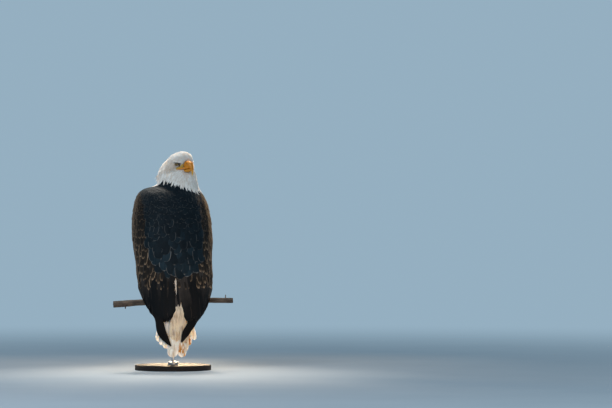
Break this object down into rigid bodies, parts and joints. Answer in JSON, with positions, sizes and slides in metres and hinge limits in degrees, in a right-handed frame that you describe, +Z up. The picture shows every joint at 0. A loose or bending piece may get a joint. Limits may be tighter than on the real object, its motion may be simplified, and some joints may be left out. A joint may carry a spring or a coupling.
{
  "type": "bald eagle",
  "caption": "Life-size bald eagle perched upright on a cut branch, seen best from behind, head turned over its right shoulder, on a plain round display stand.",
  "frame": {"origin": "centre of the stand's underside, on the floor", "axes": "+Z up, +Y the way the breast faces, +X the bird's right"},
  "size_m": [0.4686, 0.305, 0.8565],
  "materials": {
    "brown_plumage": "dark brown contour feathers with paler edges",
    "white_plumage": "white feathers",
    "flight_feather": "blackish brown wing quills, slightly glossy",
    "bill": "smooth yellow horn",
    "yellow_skin": "scaled yellow skin",
    "talon": "polished black horn",
    "iris": "wet pale yellow eye with a black pupil",
    "bark": "weathered grey-brown dead wood",
    "lacquer": "dark satin lacquer",
    "steel": "satin steel"
  },
  "bodies": {
    "root": {"bill_lower": "bill", "bill_upper": "bill", "claw_left_hind": "talon", "claw_left_inner": "talon", "claw_left_middle": "talon", "claw_left_outer": "talon", "claw_right_hind": "talon", "claw_right_inner": "talon", "claw_right_middle": "talon", "claw_right_outer": "talon", "eye_left": "iris", "eye_right": "iris", "foot_left": "yellow_skin", "foot_right": "yellow_skin", "head": "white_plumage", "neck": "white_plumage", "perch_branch": "bark", "primaries_left": "flight_feather", "primaries_right": "flight_feather", "shank_left": "yellow_skin", "shank_right": "yellow_skin", "stand_base": "lacquer", "stand_collar": "steel", "stand_rod": "steel", "stand_saddle": "steel", "tail": "white_plumage", "thigh_left": "brown_plumage", "thigh_right": "brown_plumage", "trunk": "brown_plumage", "wing_left": "brown_plumage", "wing_right": "brown_plumage"}
  },
  "joints": []
}
